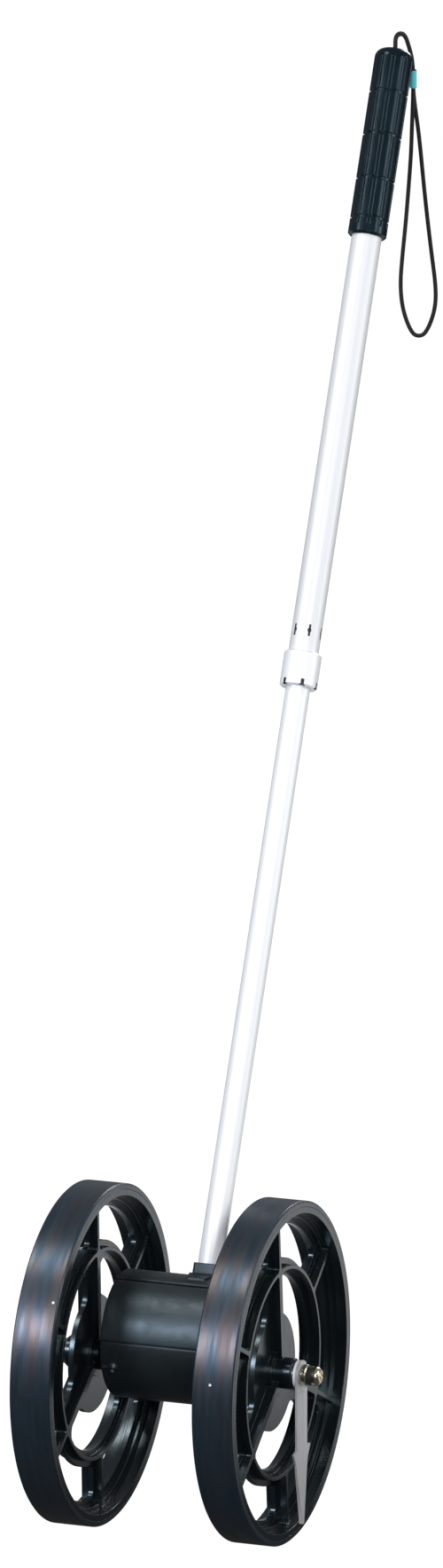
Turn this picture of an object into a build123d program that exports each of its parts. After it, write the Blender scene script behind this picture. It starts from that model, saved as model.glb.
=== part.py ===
from build123d import *
import math
import os

os.makedirs("parts", exist_ok=True)

# Two-wheeled walking measuring wheel, in millimetres.
# The origin is on the ground midway between the wheels, X runs along the axle to the pointer's side,
# Y runs back to the person who pushes it, and Z is up.

# Fits and cuts
fit = 0.05
free_gap = 0.3
overrun = 30.0

# Running wheels: one turn is one metre
wheel_circumference = 1000.0
wheel_radius = wheel_circumference / (2 * math.pi)
wheel_width = 39.0
tyre_thickness = 5.2
tyre_edge = 1.3
tyre_key_width = 9.0
tyre_key_depth = 1.5
rim_thickness = 6.0
rim_step_width = 15.0
rim_step_depth = 5.0
web_thickness = 5.0
rim_web_width = 6.0
outer_opening_height = 31.5
ring_width = 15.5
ring_rib_inset = 6.0
ring_rib_thickness = 3.6
inner_opening_height = 35.0
rib_outward_reach = 11.5
rib_inward_reach = 8.5
rib_corner = 4.0
outer_spokes = 6
outer_spoke_width = 17.0
outer_rib_thickness = 4.4
outer_corner = 7.0
inner_spokes = 3
inner_spoke_width = 30.0
inner_rib_thickness = 7.5
inner_corner = 13.0
left_wheel_turn = 2.0
right_wheel_turn = 5.0
hub_radius = 14.5
hub_foot_radius = 21.0
hub_foot_width = 13.0
hub_inner_length = 12.6
hub_outer_length = 23.0
hub_edge = 1.0

# Axle, its bushes and its ends
axle_diameter = 14.0
axle_end_diameter = 10.0
axle_end_flat = 8.4
axle_end_shortfall = 0.3
end_screw_diameter = 6.0
end_screw_depth = 16.0
bush_outer = 20.0
bush_flange = 26.0
bush_flange_thickness = 3.0
bush_length = 13.0
spacer_outer = 20.0
spacer_length = 10.7
end_washer_outer = 24.0
end_washer_thickness = 2.5
screw_head_diameter = 17.6
screw_head_height = 7.0
screw_head_edge = 4.5
screw_slot_width = 2.2
screw_slot_length = 10.0
screw_slot_depth = 2.5

# Start pointer on the right axle end
sleeve_flange = 22.0
sleeve_flange_thickness = 1.6
sleeve_outer = 10.0
pointer_washer_outer = 26.0
pointer_washer_thickness = 2.6
pointer_thickness = 2.0
pointer_length = 142.0
pointer_half_width = 13.5
pointer_barb_level = 71.0
pointer_barb_reach = 22.0
pointer_barb_height = 12.0
pointer_head_half_width = 15.2
pointer_tip_half_width = 2.0
pointer_fold = 1.8
collar_outer = 20.0
collar_thickness = 6.0
collar_edge = 1.2
grommet_outer = 18.0
grommet_thickness = 5.0

# Pole: its lean and the lengths that show
pole_lean = 25.26
lower_tube_showing = 549.0
nut_length = 33.0
upper_tube_showing = 403.0
grip_length = 183.0
dimple_above_nut = 20.0
lower_tube_outer = 23.0
lower_tube_wall = 1.5
upper_tube_outer = 28.5
upper_tube_wall = 1.5
spigot_length = 48.0
tube_pin_diameter = 4.0
guide_bush_length = 12.0
guide_spigot_length = 20.0
dimple_count = 6
dimple_radius = 3.0
dimple_depth = 1.0

# Clamp at the lower end of the upper tube
nut_outer = 35.4
nut_edge = 1.2
nut_lip = 2.0
nut_notches = 6
nut_notch_width = 3.2
nut_notch_height = 6.0
nut_notch_depth = 1.6
collet_thread_outer = 28.4
collet_tip_outer = 26.0
collet_tip_length = 7.0
collet_thread_length = 14.0
collet_spigot_length = 76.0
collet_slots = 4
collet_slot_width = 2.0
collet_slot_length = 17.0

# Grip
grip_outer = 36.6
grip_mouth = 2.0
grip_dome = 9.0
grip_end_thickness = 8.0
grip_flutes = 10
grip_flute_radius = 3.2
grip_flute_depth = 1.0
grip_flute_margin = 9.0
grip_ring_shares = (0.09, 0.3, 0.535, 0.765)
grip_ring_width = 2.6
grip_ring_depth = 1.3
plug_length = 27.0
plug_slot_depth = 6.0
strap_slot_length = 10.0
strap_slot_width = 5.2
strap_slot_turn = 22.4

# Wrist strap: one cord out of the grip's end, down, round and back
strap_diameter = 4.0
strap_turn = 20.5
strap_arc_share = 0.45
sleeve_drop = 21.0
sleeve_length = 16.5
sleeve_wall = 1.1
sleeve_clearance = 0.3
strap_over_front = (
    (-1.3, -6.2, -8.1),
    (0.4, -1.6, 2.3),
    (0.1, 2.2, 11.9),
    (4.4, 5.3, 15.2),
    (9.5, 8.9, 12.7),
    (13.2, 11.3, 1.5),
    (17.0, 11.7, -13.7),
)
strap_loop = (
    (17.3, 11.7, -39.7),
    (16.9, 12.3, -55.7),
    (16.2, 13.4, -76.7),
    (15.6, 14.0, -99.7),
    (13.6, 14.0, -129.7),
    (10.8, 14.0, -166.7),
    (7.6, 14.0, -199.7),
    (5.8, 14.0, -223.7),
    (7.2, 14.0, -244.7),
    (11.8, 14.0, -261.7),
    (17.8, 14.0, -273.9),
    (23.6, 14.0, -276.1),
    (29.4, 14.0, -273.9),
    (35.6, 14.0, -261.3),
    (39.6, 14.0, -244.7),
    (39.2, 14.0, -225.7),
    (36.0, 14.0, -201.7),
    (32.0, 14.0, -169.7),
    (28.0, 14.0, -133.7),
    (25.0, 14.0, -102.7),
    (22.4, 14.8, -78.7),
    (19.2, 15.8, -56.7),
    (17.3, 16.3, -39.7),
)
strap_over_rear = (
    (17.0, 16.3, -13.7),
    (13.2, 16.0, 1.5),
    (9.5, 14.0, 12.7),
    (4.4, 10.4, 15.2),
    (0.1, 7.2, 11.9),
    (0.1, 2.8, 0.4),
    (-1.6, -1.8, -10.0),
)

# Drum housing, which stands above the axle, up the pole, so that it covers the counter
drum_radius = 59.2
drum_length = 124.0
drum_wall = 3.0
drum_edge = 2.0
seam_drop = 17.8
seam_edge = 0.7
cap_half_angle = 40.5
cap_gap_angle = 4.0
cap_edge = 1.2
cap_proud = 0.4
ledge_angle = 6.0
ledge_thickness = 3.0
bearing_boss_radius = 14.5
boss_width = 25.0
boss_height = 10.6
boss_corner = 3.0
foot_half_width = 14.4
foot_tip_half_width = 8.4
foot_reach = 32.0
foot_height = 2.0
foot_window_gap = 1.1
screw_column_radius = 4.5
screw_column_end_gap = 12.0
screw_column_wall_gap = 13.2
screw_column_height = 22.0
column_web_width = 4.0
housing_screw_diameter = 3.0
housing_screw_head = 6.0
housing_screw_head_height = 2.4
housing_screw_recess = 7.3
housing_screw_bite = 18.0
cap_screw_end_gap = 12.0
cap_screw_angle = 38.0
cap_screw_diameter = 3.0
cap_screw_head = 5.6
cap_screw_head_height = 2.0
cap_screw_bite = 2.0

# Counter: its gears run from the axle up to the number wheels
gear_module = 1.0
gear_pressure_angle = 20.0
gear_backlash = 0.12
gear_flank_points = 4
gear_addendum_share = 1.0
gear_dedendum_share = 1.25
drive_teeth = 24
idler_teeth = 34
gear_width = 5.0
gear_bush_gap = 1.5
frame_gap = 0.9
frame_plate = 1.5
frame_wheel_gap = 3.5
frame_foot_drop = 40.0
frame_bridge_drop = 24.0
frame_bridge_rise = 10.0
number_wheels = 5
number_wheel_radius = 15.0
number_wheel_pitch = 6.8
number_wheel_gap = 0.4
number_wheel_edge = 0.4
number_wheel_dish = 1.0
number_wheel_rim = 2.5
number_wheel_hub = 5.0
wheel_side_gap = 0.7
counter_headroom = 5.0
counter_shaft_diameter = 5.0
idler_stud_diameter = 5.0
idler_stud_head = 8.0
idler_stud_head_height = 1.2
pinion_angle = 37.2
pinion_wheel_gap = 0.5
pinion_radius = 4.3
pinion_core_radius = 2.7
pinion_teeth = 8
pinion_tooth_width = 1.4
pinion_gap = 0.8
pinion_shaft_diameter = 3.0
window_overlap = 3.0
window_width = 18.0
window_thickness = 2.0
window_border = 2.0
window_floor = 0.6

# Counter reset
reset_drop = 16.0
reset_button_diameter = 12.0
reset_button_proud = 3.4
reset_button_tail = 2.4
reset_button_edge = 1.5
reset_flange_diameter = 15.0
reset_flange_thickness = 2.0
reset_stem_diameter = 6.0
reset_comb_gap = 5.6
reset_comb_thickness = 2.0
reset_comb_foot = 5.0
reset_finger_length = 1.0
reset_finger_width = 3.0
reset_finger_height = 8.0

# Places along the axle, from the drum's end out to the wheels and in to the counter and the pole
drum_half = drum_length / 2
spacer_start = drum_half + bush_flange_thickness + free_gap
hub_inner_x = spacer_start + spacer_length
wheel_x = hub_inner_x + hub_inner_length
hub_outer_x = wheel_x + hub_outer_length
gear_start = -(drum_half - bush_length - gear_bush_gap)
left_plate = gear_start + gear_width + frame_gap
wheels_start = left_plate + frame_plate + wheel_side_gap
wheels_length = number_wheels * number_wheel_pitch
right_plate = wheels_start + wheels_length + wheel_side_gap
counter_x = wheels_start + wheels_length / 2
window_length = wheels_length + 2 * window_overlap
pole_x = counter_x + window_length / 2 + foot_window_gap + foot_half_width
column_x = drum_half - screw_column_end_gap
cap_screw_x = drum_half - cap_screw_end_gap

# Levels up the pole, from the axle through the counter and the drum to the grip's end
counter_rise = gear_module * (drive_teeth + idler_teeth)
idler_rise = counter_rise / 2
reset_level = counter_rise - reset_drop
drum_inner = drum_radius - drum_wall
drum_cover = drum_radius + cap_proud
drum_rise = counter_rise + number_wheel_radius + counter_headroom - drum_inner
seam_level = drum_rise - seam_drop
window_seat_level = drum_rise + drum_inner + window_floor
boss_top = drum_rise + drum_cover + boss_height
nut_bottom = boss_top + lower_tube_showing
nut_top = nut_bottom + nut_length
dimple_level = nut_top + dimple_above_nut
grip_bottom = nut_top + upper_tube_showing
grip_top = grip_bottom + grip_length

# Radii of the wheel, from the tread in to the middle
tyre_seat = wheel_radius - tyre_thickness
rim_outer = tyre_seat - fit
rim_inner = tyre_seat - rim_thickness
rim_step_inner = rim_inner - rim_step_depth
rim_web_inner = rim_step_inner - rim_web_width
ring_outer = rim_web_inner - outer_opening_height
ring_rib_outer = ring_outer - ring_rib_inset
ring_rib_inner = ring_rib_outer - ring_rib_thickness
ring_inner = ring_outer - ring_width
disc_radius = ring_inner - inner_opening_height

# Directions and axes
lean = math.radians(pole_lean)
pole_direction = (0, math.sin(lean), math.cos(lean))
rear_direction = (0, math.cos(lean), -math.sin(lean))
axle_axis = Axis((0, 0, wheel_radius), (1, 0, 0))
pole_axis = Axis((pole_x, 0, wheel_radius), pole_direction)
axle_profile = Plane(origin=(0, 0, wheel_radius), x_dir=(1, 0, 0), z_dir=(0, -1, 0))
pole_profile = Plane(
    origin=(pole_x, 0, wheel_radius),
    x_dir=(1, 0, 0),
    z_dir=(0, -math.cos(lean), math.sin(lean)),
)
lower_tube_inner = lower_tube_outer - 2 * lower_tube_wall
upper_tube_inner = upper_tube_outer - 2 * upper_tube_wall


def place(x, rear, rise):
    """A point given by its distances along the axle, to the rear and up the pole, from the axle's middle."""
    return (
        x,
        rear * math.cos(lean) + rise * math.sin(lean),
        wheel_radius - rear * math.sin(lean) + rise * math.cos(lean),
    )


def section(x, rear=0, rise=0):
    """The plane across the axle, with its first axis to the rear and its second up the pole."""
    return Plane(origin=place(x, rear, rise), x_dir=rear_direction, z_dir=(1, 0, 0))


def level(rise, x=pole_x, rear=0):
    """The plane across the pole at a height above the axle, with its second axis to the rear."""
    return Plane(origin=place(x, rear, rise), x_dir=(1, 0, 0), z_dir=pole_direction)


def upright(x):
    """The plane across the axle, with its first axis to the rear and its second straight up."""
    return Plane(origin=(x, 0, wheel_radius), x_dir=(0, 1, 0), z_dir=(1, 0, 0))


def write(part, name):
    """Labels a finished piece and writes it."""
    part.label = name
    export_step(part, f"parts/{name}.step")


def turned(points, plane, axis):
    """A piece turned about an axis from its half profile."""
    with BuildPart() as piece:
        with BuildSketch(plane):
            with BuildLine():
                Polyline(*points, close=True)
            make_face()
        revolve(axis=axis)
    return piece.part


def on_axle(points):
    return turned(points, axle_profile, axle_axis)


def on_pole(points):
    return turned(points, pole_profile, pole_axis)


def ring_on_axle(start, end, inner, outer, edge=0):
    """A washer, bush or spacer on the axle, with its outer edges broken."""
    return on_axle(
        (
            (start, inner),
            (end, inner),
            (end, outer - edge),
            (end - math.copysign(edge, end - start), outer),
            (start + math.copysign(edge, end - start), outer),
            (start, outer - edge),
        )
        if edge
        else ((start, inner), (end, inner), (end, outer), (start, outer))
    )


def sector(half_angle, reach):
    """The corner points of a wedge that opens up the pole from the drum's axis."""
    across = reach * math.sin(math.radians(half_angle))
    along = reach * math.cos(math.radians(half_angle))
    return (
        (0, drum_rise),
        (-across, drum_rise + along),
        (-across, drum_rise + reach),
        (across, drum_rise + reach),
        (across, drum_rise + along),
    )


# Tyres: a flat tread, broken edges and a key that sits in the rim
tread_half = wheel_width / 2
key_half = tyre_key_width / 2
for side, sign in (("left", -1), ("right", 1)):
    middle = sign * wheel_x
    tyre = on_axle(
        (
            (middle - tread_half, tyre_seat),
            (middle - key_half, tyre_seat),
            (middle - key_half, tyre_seat - tyre_key_depth),
            (middle + key_half, tyre_seat - tyre_key_depth),
            (middle + key_half, tyre_seat),
            (middle + tread_half, tyre_seat),
            (middle + tread_half, wheel_radius - tyre_edge),
            (middle + tread_half - tyre_edge, wheel_radius),
            (middle - tread_half + tyre_edge, wheel_radius),
            (middle - tread_half, wheel_radius - tyre_edge),
        )
    )
    write(tyre, f"{side}_tyre")

# Wheels: a web with openings, a stepped rim, a ring, ribs on both sides and a hub
spokes_end = rim_inner + rim_thickness / 2
pockets_end = rim_inner + rim_thickness / 4
rib_depth = rib_inward_reach + rib_outward_reach
for side, sign, turn in (("left", -1, left_wheel_turn), ("right", 1, right_wheel_turn)):
    middle = sign * wheel_x
    web_plane = upright(middle)
    start = 90 + turn
    # Web
    with BuildPart() as wheel_web:
        with BuildSketch(web_plane):
            Circle(rim_inner)
        extrude(amount=web_thickness / 2, both=True)
        with BuildSketch(web_plane) as outer_openings:
            Circle(rim_web_inner)
            Circle(ring_outer, mode=Mode.SUBTRACT)
            with PolarLocations(0, outer_spokes, start_angle=start):
                Rectangle(rim_inner, outer_spoke_width, align=(Align.MIN, Align.CENTER), mode=Mode.SUBTRACT)
            fillet(outer_openings.vertices(), outer_corner)
        extrude(amount=web_thickness, both=True, mode=Mode.SUBTRACT)
        with BuildSketch(web_plane) as inner_openings:
            Circle(ring_inner)
            Circle(disc_radius, mode=Mode.SUBTRACT)
            with PolarLocations(0, inner_spokes, start_angle=start):
                Rectangle(ring_outer, inner_spoke_width, align=(Align.MIN, Align.CENTER), mode=Mode.SUBTRACT)
            fillet(inner_openings.vertices(), inner_corner)
        extrude(amount=web_thickness, both=True, mode=Mode.SUBTRACT)
    # Ribs and ring, which stand out from the web on both sides, with rounded corners where they meet
    with BuildPart() as wheel_ribs:
        with BuildSketch(web_plane.offset(-sign * rib_inward_reach)):
            Circle(spokes_end)
        extrude(amount=sign * rib_depth)
        with BuildSketch(web_plane) as outer_pockets:
            Circle(pockets_end)
            Circle(ring_rib_outer, mode=Mode.SUBTRACT)
            with PolarLocations(0, outer_spokes, start_angle=start):
                Rectangle(rim_outer, outer_rib_thickness, align=(Align.MIN, Align.CENTER), mode=Mode.SUBTRACT)
            fillet(outer_pockets.vertices(), rib_corner)
        extrude(amount=rib_depth, both=True, mode=Mode.SUBTRACT)
        with BuildSketch(web_plane) as inner_pockets:
            Circle(ring_rib_inner)
            Circle(hub_radius - hub_edge, mode=Mode.SUBTRACT)
            with PolarLocations(0, inner_spokes, start_angle=start):
                Rectangle(ring_outer, inner_rib_thickness, align=(Align.MIN, Align.CENTER), mode=Mode.SUBTRACT)
            fillet(inner_pockets.vertices(), rib_corner)
        extrude(amount=rib_depth, both=True, mode=Mode.SUBTRACT)
    with BuildPart() as wheel:
        add(wheel_web.part)
        add(wheel_ribs.part)
        # Stepped rim with a groove for the tyre's key
        with BuildSketch(axle_profile):
            with BuildLine():
                Polyline(
                    (middle - tread_half, rim_inner),
                    (middle - rim_step_width / 2, rim_inner),
                    (middle - rim_step_width / 2, rim_step_inner),
                    (middle + rim_step_width / 2, rim_step_inner),
                    (middle + rim_step_width / 2, rim_inner),
                    (middle + tread_half, rim_inner),
                    (middle + tread_half, rim_outer),
                    (middle + key_half + fit, rim_outer),
                    (middle + key_half + fit, rim_outer - tyre_key_depth),
                    (middle - key_half - fit, rim_outer - tyre_key_depth),
                    (middle - key_half - fit, rim_outer),
                    (middle - tread_half, rim_outer),
                    close=True,
                )
            make_face()
        revolve(axis=axle_axis)
        # Hub with its foot
        with BuildSketch(web_plane):
            Circle(hub_foot_radius)
        extrude(amount=hub_foot_width / 2, both=True)
        add(
            ring_on_axle(
                middle - sign * hub_inner_length,
                middle + sign * hub_outer_length,
                axle_end_diameter / 4,
                hub_radius,
                hub_edge,
            )
        )
        # Bore with two flats
        with BuildSketch(web_plane):
            Circle(axle_end_diameter / 2 + fit)
            Rectangle(axle_end_flat + 2 * fit, axle_end_diameter + overrun, mode=Mode.INTERSECT)
        extrude(amount=hub_outer_length + overrun, both=True, mode=Mode.SUBTRACT)
    write(wheel.part, f"{side}_wheel")

# Axle: a thick middle in the bushes, and flatted ends that drive the wheels
axle_end_x = hub_outer_x - axle_end_shortfall
with BuildPart() as axle:
    with BuildSketch(upright(-hub_inner_x)):
        Circle(axle_diameter / 2)
    extrude(amount=2 * hub_inner_x)
    with BuildSketch(upright(-axle_end_x)):
        Circle(axle_end_diameter / 2)
        Rectangle(axle_end_flat, axle_end_diameter, mode=Mode.INTERSECT)
    extrude(amount=2 * axle_end_x)
    with BuildSketch(upright(axle_end_x), upright(-axle_end_x + end_screw_depth)):
        Circle(end_screw_diameter / 2 + fit)
    extrude(amount=-end_screw_depth, mode=Mode.SUBTRACT)
write(axle.part, "axle")

# Flanged bushes in the housing's ends, and spacers between them and the hubs
for side, sign in (("left", -1), ("right", 1)):
    bush = on_axle(
        (
            (sign * (drum_half - bush_length), axle_diameter / 2 + fit),
            (sign * (drum_half + bush_flange_thickness), axle_diameter / 2 + fit),
            (sign * (drum_half + bush_flange_thickness), bush_flange / 2),
            (sign * drum_half, bush_flange / 2),
            (sign * drum_half, bush_outer / 2),
            (sign * (drum_half - bush_length), bush_outer / 2),
        )
    )
    write(bush, f"{side}_bush")
    spacer = ring_on_axle(sign * spacer_start, sign * hub_inner_x, axle_diameter / 2 + fit, spacer_outer / 2)
    write(spacer, f"{side}_spacer")


def axle_screw(sign, under_head):
    """A domed end screw with a cross recess, whose shank sits in the axle's end."""
    tip = axle_end_x - end_screw_depth + free_gap
    top = under_head + screw_head_height
    radius = screw_head_diameter / 2
    with BuildPart() as screw:
        with BuildSketch(axle_profile):
            with BuildLine():
                Line((sign * tip, 0), (sign * top, 0))
                Line((sign * top, 0), (sign * top, radius - screw_head_edge))
                ThreePointArc(
                    (sign * top, radius - screw_head_edge),
                    (
                        sign * (top - screw_head_edge * (1 - math.sqrt(0.5))),
                        radius - screw_head_edge * (1 - math.sqrt(0.5)),
                    ),
                    (sign * (top - screw_head_edge), radius),
                )
                Line((sign * (top - screw_head_edge), radius), (sign * under_head, radius))
                Line((sign * under_head, radius), (sign * under_head, end_screw_diameter / 2))
                Line((sign * under_head, end_screw_diameter / 2), (sign * tip, end_screw_diameter / 2))
                Line((sign * tip, end_screw_diameter / 2), (sign * tip, 0))
            make_face()
        revolve(axis=axle_axis)
        with BuildSketch(upright(sign * top)):
            Rectangle(screw_slot_length, screw_slot_width)
            Rectangle(screw_slot_width, screw_slot_length)
        extrude(amount=-sign * screw_slot_depth, mode=Mode.SUBTRACT)
    return screw.part


# Left axle end: a washer and a screw
left_washer_end = hub_outer_x + end_washer_thickness
left_washer = ring_on_axle(-hub_outer_x, -left_washer_end, end_screw_diameter / 2 + fit, end_washer_outer / 2)
write(left_washer, "left_end_washer")
write(axle_screw(-1, left_washer_end), "left_end_screw")

# Right axle end: a flanged sleeve carries the washer, the pointer, the collar and the grommet
washer_start = hub_outer_x + sleeve_flange_thickness
pointer_start = washer_start + pointer_washer_thickness + free_gap
collar_start = pointer_start + pointer_thickness + free_gap
grommet_start = collar_start + collar_thickness
screw_seat = grommet_start + grommet_thickness
pointer_sleeve = on_axle(
    (
        (hub_outer_x, end_screw_diameter / 2 + fit),
        (screw_seat, end_screw_diameter / 2 + fit),
        (screw_seat, sleeve_outer / 2),
        (washer_start, sleeve_outer / 2),
        (washer_start, sleeve_flange / 2),
        (hub_outer_x, sleeve_flange / 2),
    )
)
write(pointer_sleeve, "pointer_sleeve")
pointer_washer = ring_on_axle(
    washer_start, washer_start + pointer_washer_thickness, sleeve_outer / 2 + fit, pointer_washer_outer / 2
)
write(pointer_washer, "pointer_washer")
pointer_collar = ring_on_axle(
    collar_start, collar_start + collar_thickness, sleeve_outer / 2 + fit, collar_outer / 2, collar_edge
)
write(pointer_collar, "pointer_collar")
pointer_grommet = ring_on_axle(
    grommet_start, grommet_start + grommet_thickness, sleeve_outer / 2 + fit, grommet_outer / 2
)
write(pointer_grommet, "pointer_grommet")
write(axle_screw(1, screw_seat), "pointer_screw")

# Pointer: a flat round head, a shank and an arrow, with a ridge folded along its middle
pointer_outline = (
    (-pointer_half_width, 0),
    (-pointer_half_width, -pointer_barb_level + pointer_fold),
    (-pointer_barb_reach, -pointer_barb_level),
    (-pointer_head_half_width, -pointer_barb_level - pointer_barb_height),
    (-pointer_tip_half_width, -pointer_length),
    (pointer_tip_half_width, -pointer_length),
    (pointer_head_half_width, -pointer_barb_level - pointer_barb_height),
    (pointer_barb_reach, -pointer_barb_level),
    (pointer_half_width, -pointer_barb_level + pointer_fold),
    (pointer_half_width, 0),
)
ridge_start = -pointer_half_width - pointer_fold
with BuildPart() as pointer_ridge:
    with BuildSketch(Plane(origin=(pointer_start, 0, wheel_radius + ridge_start), x_dir=(0, 1, 0), z_dir=(0, 0, -1))):
        with BuildLine():
            Polyline(
                (-pointer_half_width, pointer_thickness),
                (0, pointer_thickness + pointer_fold),
                (pointer_half_width, pointer_thickness),
                close=True,
            )
        make_face()
    extrude(amount=pointer_length)
    with BuildSketch(upright(pointer_start)):
        with BuildLine():
            Polyline(*pointer_outline, close=True)
        make_face()
    extrude(amount=pointer_thickness + 2 * pointer_fold, mode=Mode.INTERSECT)
with BuildPart() as pointer:
    with BuildSketch(upright(pointer_start)):
        with BuildLine():
            Polyline(*pointer_outline, close=True)
        make_face()
        Circle(pointer_half_width)
        Circle(sleeve_outer / 2 + fit, mode=Mode.SUBTRACT)
    extrude(amount=pointer_thickness)
    add(pointer_ridge.part)
write(pointer.part, "pointer")

# Lower shell of the drum, up to the seam, with bearing bosses and screw columns
shell_reach = 4 * drum_radius
column_web = screw_column_end_gap - drum_wall / 2
column_rear = drum_inner - screw_column_wall_gap
screw_seat_level = drum_rise - math.sqrt(drum_radius**2 - column_rear**2) + housing_screw_recess
column_places = [(x, rear) for x in (-column_x, column_x) for rear in (-column_rear, column_rear)]
with BuildPart() as housing_lower:
    with BuildSketch(section(-drum_half)):
        with Locations((0, drum_rise)):
            Circle(drum_radius)
        with Locations((0, seam_level)):
            Rectangle(shell_reach, shell_reach, align=(Align.CENTER, Align.MIN), mode=Mode.SUBTRACT)
    extrude(amount=drum_length)
    fillet(housing_lower.edges().filter_by(GeomType.CIRCLE), drum_edge)
    seam_edges = housing_lower.edges().filter_by(Axis.X)
    chamfer(seam_edges, seam_edge)
    with BuildSketch(section(-drum_half + drum_wall)):
        with Locations((0, drum_rise)):
            Circle(drum_inner)
        with Locations((0, seam_level + overrun)):
            Rectangle(shell_reach, shell_reach, align=(Align.CENTER, Align.MIN), mode=Mode.SUBTRACT)
    extrude(amount=drum_length - 2 * drum_wall, mode=Mode.SUBTRACT)
    with BuildSketch(section(-drum_half + drum_wall), section(drum_half - bush_length)):
        Circle(bearing_boss_radius)
        with Locations((0, seam_level)):
            Rectangle(shell_reach, shell_reach, align=(Align.CENTER, Align.MIN), mode=Mode.SUBTRACT)
    extrude(amount=bush_length - drum_wall)
    for x, rear in column_places:
        floor = drum_rise - math.sqrt(drum_inner**2 - (abs(rear) - screw_column_radius) ** 2)
        with BuildSketch(level(floor, x, rear)):
            Circle(screw_column_radius)
            with Locations((math.copysign(column_web, x) / 2, 0)):
                Rectangle(column_web, column_web_width)
        extrude(amount=seam_level - floor)
    with BuildSketch(section(-drum_half)):
        Circle(bush_outer / 2 + fit)
    extrude(amount=drum_length, mode=Mode.SUBTRACT)
    for x, rear in column_places:
        with BuildSketch(level(seam_level, x, rear)):
            Circle(housing_screw_diameter / 2 + fit)
        extrude(amount=-drum_radius, mode=Mode.SUBTRACT)
        with BuildSketch(level(screw_seat_level, x, rear)):
            Circle(housing_screw_head / 2 + fit)
        extrude(amount=-drum_radius, mode=Mode.SUBTRACT)
write(housing_lower.part, "housing_lower")

# Upper shell of the drum, from the seam to the cap, with ledges that the cap rests on
with BuildPart() as housing_upper:
    with BuildSketch(section(-drum_half)):
        with Locations((0, drum_rise)):
            Circle(drum_radius)
        with Locations((0, seam_level)):
            Rectangle(shell_reach, shell_reach, align=(Align.CENTER, Align.MAX), mode=Mode.SUBTRACT)
    extrude(amount=drum_length)
    fillet(housing_upper.edges().filter_by(GeomType.CIRCLE), drum_edge)
    chamfer(housing_upper.edges().filter_by(Axis.X), seam_edge)
    with BuildSketch(section(-drum_half + drum_wall)):
        with Locations((0, drum_rise)):
            Circle(drum_inner)
    extrude(amount=drum_length - 2 * drum_wall, mode=Mode.SUBTRACT)
    # Room for the cap and the groove beside it
    with BuildSketch(section(-drum_half - overrun)):
        with BuildLine():
            Polyline(*sector(cap_half_angle + cap_gap_angle, 2 * drum_radius), close=True)
        make_face()
        with Locations((0, drum_rise)):
            Circle(drum_inner, mode=Mode.SUBTRACT)
    extrude(amount=drum_length + 2 * overrun, mode=Mode.SUBTRACT)
    # Ledges under the cap's edges
    with BuildSketch(section(-drum_half + drum_wall)) as ledges:
        with Locations((0, drum_rise)):
            Circle(drum_inner)
            Circle(drum_inner - ledge_thickness, mode=Mode.SUBTRACT)
        with BuildLine():
            Polyline(*sector(cap_half_angle + cap_gap_angle + ledge_angle, 2 * drum_radius), close=True)
        make_face(mode=Mode.INTERSECT)
        with BuildLine():
            Polyline(*sector(cap_half_angle - ledge_angle, 2 * drum_radius), close=True)
        make_face(mode=Mode.SUBTRACT)
    extrude(amount=drum_length - 2 * drum_wall)
    # Bearing bosses and screw columns
    with BuildSketch(section(-drum_half + drum_wall), section(drum_half - bush_length)):
        Circle(bearing_boss_radius)
        with Locations((0, seam_level)):
            Rectangle(shell_reach, shell_reach, align=(Align.CENTER, Align.MAX), mode=Mode.SUBTRACT)
    extrude(amount=bush_length - drum_wall)
    for x, rear in column_places:
        with BuildSketch(level(seam_level, x, rear)):
            Circle(screw_column_radius)
            with Locations((math.copysign(column_web, x) / 2, 0)):
                Rectangle(column_web, column_web_width)
        extrude(amount=screw_column_height)
        with BuildSketch(level(seam_level, x, rear)):
            Circle(housing_screw_diameter / 2 + fit)
        extrude(amount=housing_screw_bite + free_gap, mode=Mode.SUBTRACT)
    with BuildSketch(section(-drum_half)):
        Circle(bush_outer / 2 + fit)
    extrude(amount=drum_length, mode=Mode.SUBTRACT)
    # Bore for the reset button
    reset_plane = Plane(origin=place(counter_x, 0, reset_level), x_dir=(1, 0, 0), z_dir=rear_direction)
    with BuildSketch(reset_plane):
        Circle(reset_button_diameter / 2 + 2 * fit)
    extrude(amount=2 * drum_radius, mode=Mode.SUBTRACT)
    # Holes for the cap's screws, which go in from inside
    for x in (-cap_screw_x, cap_screw_x):
        for angle in (-cap_screw_angle, cap_screw_angle):
            bearing = math.radians(angle)
            out = [
                math.sin(bearing) * r + math.cos(bearing) * p for r, p in zip(rear_direction, pole_direction)
            ]
            with BuildSketch(Plane(origin=place(x, 0, drum_rise), x_dir=(1, 0, 0), z_dir=out)):
                Circle(cap_screw_diameter / 2 + fit)
            extrude(amount=2 * drum_radius, mode=Mode.SUBTRACT)
write(housing_upper.part, "housing_upper")

# Screws that hold the lower shell, in from below
with BuildPart() as housing_screws:
    for x, rear in column_places:
        with BuildSketch(level(screw_seat_level, x, rear)):
            Circle(housing_screw_head / 2)
        extrude(amount=-housing_screw_head_height)
        with BuildSketch(level(screw_seat_level, x, rear)):
            Circle(housing_screw_diameter / 2)
        extrude(amount=seam_level + housing_screw_bite - screw_seat_level)
write(housing_screws.part, "housing_screws")

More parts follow.
